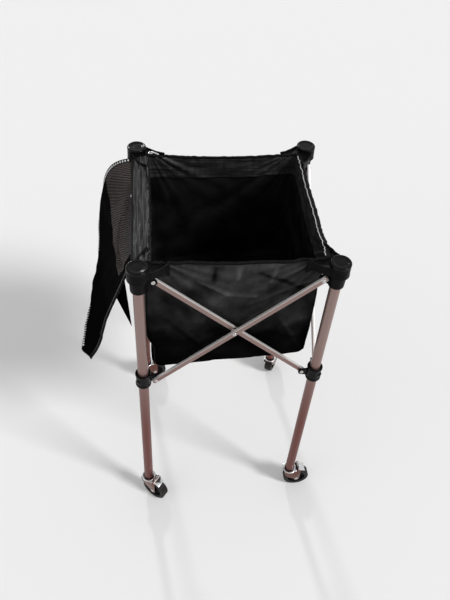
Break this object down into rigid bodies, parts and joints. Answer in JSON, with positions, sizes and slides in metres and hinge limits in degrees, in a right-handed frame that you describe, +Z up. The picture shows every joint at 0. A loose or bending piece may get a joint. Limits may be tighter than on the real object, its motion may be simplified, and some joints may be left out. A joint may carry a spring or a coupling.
{
  "type": "tennis ball hopper",
  "caption": "Wheeled folding ball hopper: scissor-link frame of round legs on swivel casters, slung nylon bag and an unzipped mesh lid over one side.",
  "frame": {"origin": "on the floor, under the middle of the box that holds the whole object", "axes": "+Z up from the floor, +X to the right as seen from the front, +Y to the back; the lid hangs over the -X side"},
  "size_m": [0.6144, 0.5252, 0.936],
  "materials": {
    "tube": "satin anodised, warm grey",
    "moulded": "fine-grained moulding, half matte",
    "gloss": "polished black",
    "zinc": "bright zinc plate",
    "rivet": "plain steel",
    "rubber": "ribbed tread, half matte",
    "nylon": "woven nylon, dull sheen",
    "mesh": "open knitted mesh"
  },
  "bodies": {
    "leg_fl": {"leg_tube_fl": "tube", "top_cap_fl": "gloss", "top_bracket_fl": "moulded", "corner_sleeve_fl": "nylon", "caster_socket_fl": "moulded", "bag_wall_front": "nylon", "bag_wall_left": "nylon", "bag_floor": "nylon", "rim_band": "nylon"},
    "leg_fr": {"leg_tube_fr": "tube", "top_cap_fr": "gloss", "top_bracket_fr": "moulded", "corner_sleeve_fr": "nylon", "caster_socket_fr": "moulded", "bag_wall_right": "nylon"},
    "leg_bl": {"leg_tube_bl": "tube", "top_cap_bl": "gloss", "top_bracket_bl": "moulded", "corner_sleeve_bl": "nylon", "caster_socket_bl": "moulded", "bag_wall_back": "nylon"},
    "leg_br": {"leg_tube_br": "tube", "top_cap_br": "gloss", "top_bracket_br": "moulded", "corner_sleeve_br": "nylon", "caster_socket_br": "moulded"},
    "inner_front": {"inner_link_front": "tube", "centre_rivet_front": "rivet"},
    "outer_front": {"outer_link_front": "tube"},
    "inner_left": {"inner_link_left": "tube", "centre_rivet_left": "rivet"},
    "outer_left": {"outer_link_left": "tube"},
    "inner_back": {"inner_link_back": "tube", "centre_rivet_back": "rivet"},
    "outer_back": {"outer_link_back": "tube"},
    "inner_right": {"inner_link_right": "tube", "centre_rivet_right": "rivet"},
    "outer_right": {"outer_link_right": "tube"},
    "slider_fl": {"slider_fl": "moulded"},
    "button_fl": {"lock_button_fl": "gloss"},
    "caster_fl": {"caster_fork_fl": "zinc"},
    "wheel_fl": {"caster_wheel_fl": "rubber"},
    "pedal_fl": {"brake_pedal_fl": "zinc"},
    "slider_fr": {"slider_fr": "moulded"},
    "button_fr": {"lock_button_fr": "gloss"},
    "caster_fr": {"caster_fork_fr": "zinc"},
    "wheel_fr": {"caster_wheel_fr": "rubber"},
    "pedal_fr": {"brake_pedal_fr": "zinc"},
    "slider_br": {"slider_br": "moulded"},
    "button_br": {"lock_button_br": "gloss"},
    "caster_br": {"caster_fork_br": "zinc"},
    "wheel_br": {"caster_wheel_br": "rubber"},
    "pedal_br": {"brake_pedal_br": "zinc"},
    "slider_bl": {"slider_bl": "moulded"},
    "button_bl": {"lock_button_bl": "gloss"},
    "caster_bl": {"caster_fork_bl": "zinc"},
    "wheel_bl": {"caster_wheel_bl": "rubber"},
    "pedal_bl": {"brake_pedal_bl": "zinc"},
    "lid": {"lid_panel": "mesh"}
  },
  "joints": [
    {"name": "fold", "type": "hinge", "parent": "leg_fl", "child": "inner_front", "pos_m": [-0.14413, -0.21587, 0.89], "axis": [0, 1, 0], "range_deg": [0, 42.5], "deforming": ["bag_wall_front", "bag_wall_right", "bag_wall_back", "bag_wall_left", "bag_floor", "rim_band"]},
    {"name": "outer_front_pivot", "type": "hinge", "parent": "inner_front", "child": "outer_front", "pos_m": [0.03487, -0.21587, 0.726], "axis": [0, 1, 0], "range_deg": [-85.5, 0]},
    {"name": "leg_fr_pivot", "type": "hinge", "parent": "outer_front", "child": "leg_fr", "pos_m": [0.21387, -0.21587, 0.89], "axis": [0, 1, 0], "range_deg": [0, 43]},
    {"name": "slider_fl_pivot", "type": "hinge", "parent": "outer_front", "child": "slider_fl", "pos_m": [-0.14413, -0.21587, 0.562], "axis": [0, 1, 0], "range_deg": [0, 43]},
    {"name": "slider_fr_pivot", "type": "hinge", "parent": "inner_front", "child": "slider_fr", "pos_m": [0.21387, -0.21587, 0.562], "axis": [0, 1, 0], "range_deg": [-43, 0]},
    {"name": "outer_left_pivot", "type": "hinge", "parent": "leg_fl", "child": "outer_left", "pos_m": [-0.17513, -0.18487, 0.89], "axis": [-1, 0, 0], "range_deg": [0, 43]},
    {"name": "inner_left_pivot", "type": "hinge", "parent": "outer_left", "child": "inner_left", "pos_m": [-0.17513, -0.00587, 0.726], "axis": [-1, 0, 0], "range_deg": [-85.5, 0]},
    {"name": "leg_bl_pivot", "type": "hinge", "parent": "inner_left", "child": "leg_bl", "pos_m": [-0.17513, 0.17314, 0.89], "axis": [-1, 0, 0], "range_deg": [0, 43]},
    {"name": "slider_bl_pivot", "type": "hinge", "parent": "outer_left", "child": "slider_bl", "pos_m": [-0.17513, 0.17314, 0.562], "axis": [-1, 0, 0], "range_deg": [-43, 0]},
    {"name": "outer_back_pivot", "type": "hinge", "parent": "leg_bl", "child": "outer_back", "pos_m": [-0.14413, 0.20414, 0.89], "axis": [0, 1, 0], "range_deg": [0, 43]},
    {"name": "inner_back_pivot", "type": "hinge", "parent": "outer_back", "child": "inner_back", "pos_m": [0.03487, 0.20414, 0.726], "axis": [0, 1, 0], "range_deg": [-85.5, 0]},
    {"name": "leg_br_pivot", "type": "hinge", "parent": "inner_back", "child": "leg_br", "pos_m": [0.21387, 0.20414, 0.89], "axis": [0, 1, 0], "range_deg": [0, 43]},
    {"name": "slider_br_pivot", "type": "hinge", "parent": "outer_back", "child": "slider_br", "pos_m": [0.21387, 0.20414, 0.562], "axis": [0, 1, 0], "range_deg": [-43, 0]},
    {"name": "inner_right_pivot", "type": "hinge", "parent": "leg_fr", "child": "inner_right", "pos_m": [0.24487, -0.18487, 0.89], "axis": [-1, 0, 0], "range_deg": [0, 43]},
    {"name": "outer_right_pivot", "type": "hinge", "parent": "inner_right", "child": "outer_right", "pos_m": [0.24487, -0.00587, 0.726], "axis": [-1, 0, 0], "range_deg": [-85.5, 0]},
    {"name": "swivel_fl", "type": "hinge", "parent": "leg_fl", "child": "caster_fl", "pos_m": [-0.17513, -0.21587, 0.084], "axis": [0, 0, 1], "continuous": true},
    {"name": "roll_fl", "type": "hinge", "parent": "caster_fl", "child": "wheel_fl", "pos_m": [-0.15648, -0.23097, 0.0375], "axis": [0.6293, 0.7771, 0], "continuous": true},
    {"name": "brake_fl", "type": "hinge", "parent": "caster_fl", "child": "pedal_fl", "pos_m": [-0.15415, -0.23286, 0.0821], "axis": [0.6293, 0.7771, 0], "range_deg": [0, 6.5]},
    {"name": "lock_fl", "type": "slide", "parent": "slider_fl", "child": "button_fl", "axis": [0.7071, 0.7071, 0], "range_m": [0, 0.0015], "stiffness_N_per_m": 600, "springref_m": -0.002},
    {"name": "swivel_fr", "type": "hinge", "parent": "leg_fr", "child": "caster_fr", "pos_m": [0.24487, -0.21587, 0.084], "axis": [0, 0, 1], "continuous": true},
    {"name": "roll_fr", "type": "hinge", "parent": "caster_fr", "child": "wheel_fr", "pos_m": [0.26886, -0.21503, 0.0375], "axis": [-0.0349, 0.9994, 0], "continuous": true},
    {"name": "brake_fr", "type": "hinge", "parent": "caster_fr", "child": "pedal_fr", "pos_m": [0.27186, -0.21492, 0.0821], "axis": [-0.0349, 0.9994, 0], "range_deg": [0, 6.5]},
    {"name": "lock_fr", "type": "slide", "parent": "slider_fr", "child": "button_fr", "axis": [-0.7071, 0.7071, 0], "range_m": [0, 0.0015], "stiffness_N_per_m": 600, "springref_m": -0.002},
    {"name": "swivel_br", "type": "hinge", "parent": "leg_br", "child": "caster_br", "pos_m": [0.24487, 0.20414, 0.084], "axis": [0, 0, 1], "continuous": true},
    {"name": "roll_br", "type": "hinge", "parent": "caster_br", "child": "wheel_br", "pos_m": [0.25687, 0.22492, 0.0375], "axis": [-0.866, 0.5, 0], "continuous": true},
    {"name": "brake_br", "type": "hinge", "parent": "caster_br", "child": "pedal_br", "pos_m": [0.25837, 0.22752, 0.0821], "axis": [-0.866, 0.5, 0], "range_deg": [0, 6.5]},
    {"name": "lock_br", "type": "slide", "parent": "slider_br", "child": "button_br", "axis": [-0.7071, -0.7071, 0], "range_m": [0, 0.0015], "stiffness_N_per_m": 600, "springref_m": -0.002},
    {"name": "swivel_bl", "type": "hinge", "parent": "leg_bl", "child": "caster_bl", "pos_m": [-0.17513, 0.20414, 0.084], "axis": [0, 0, 1], "continuous": true},
    {"name": "roll_bl", "type": "hinge", "parent": "caster_bl", "child": "wheel_bl", "pos_m": [-0.15149, 0.2083, 0.0375], "axis": [-0.1736, 0.9848, 0], "continuous": true},
    {"name": "brake_bl", "type": "hinge", "parent": "caster_bl", "child": "pedal_bl", "pos_m": [-0.14854, 0.20882, 0.0821], "axis": [-0.1736, 0.9848, 0], "range_deg": [0, 6.5]},
    {"name": "lock_bl", "type": "slide", "parent": "slider_bl", "child": "button_bl", "axis": [0.7071, -0.7071, 0], "range_m": [0, 0.0015], "stiffness_N_per_m": 600, "springref_m": -0.002},
    {"name": "lid_hinge", "type": "hinge", "parent": "leg_fl", "child": "lid", "pos_m": [-0.18771, -0.00587, 0.9073], "axis": [0, 1, 0], "range_deg": [0, 243], "deforming": ["lid_panel"]}
  ],
  "couplings": [
    {"joint": "outer_front_pivot", "follows": "fold", "ratio": -2},
    {"joint": "leg_fr_pivot", "follows": "fold", "ratio": 1},
    {"joint": "slider_fl_pivot", "follows": "fold", "ratio": 1},
    {"joint": "slider_fr_pivot", "follows": "fold", "ratio": -1},
    {"joint": "outer_left_pivot", "follows": "fold", "ratio": 1},
    {"joint": "inner_left_pivot", "follows": "fold", "ratio": -2},
    {"joint": "leg_bl_pivot", "follows": "fold", "ratio": 1},
    {"joint": "slider_bl_pivot", "follows": "fold", "ratio": -1},
    {"joint": "outer_back_pivot", "follows": "fold", "ratio": 1},
    {"joint": "inner_back_pivot", "follows": "fold", "ratio": -2},
    {"joint": "leg_br_pivot", "follows": "fold", "ratio": 1},
    {"joint": "slider_br_pivot", "follows": "fold", "ratio": -1},
    {"joint": "inner_right_pivot", "follows": "fold", "ratio": 1},
    {"joint": "outer_right_pivot", "follows": "fold", "ratio": -2}
  ]
}
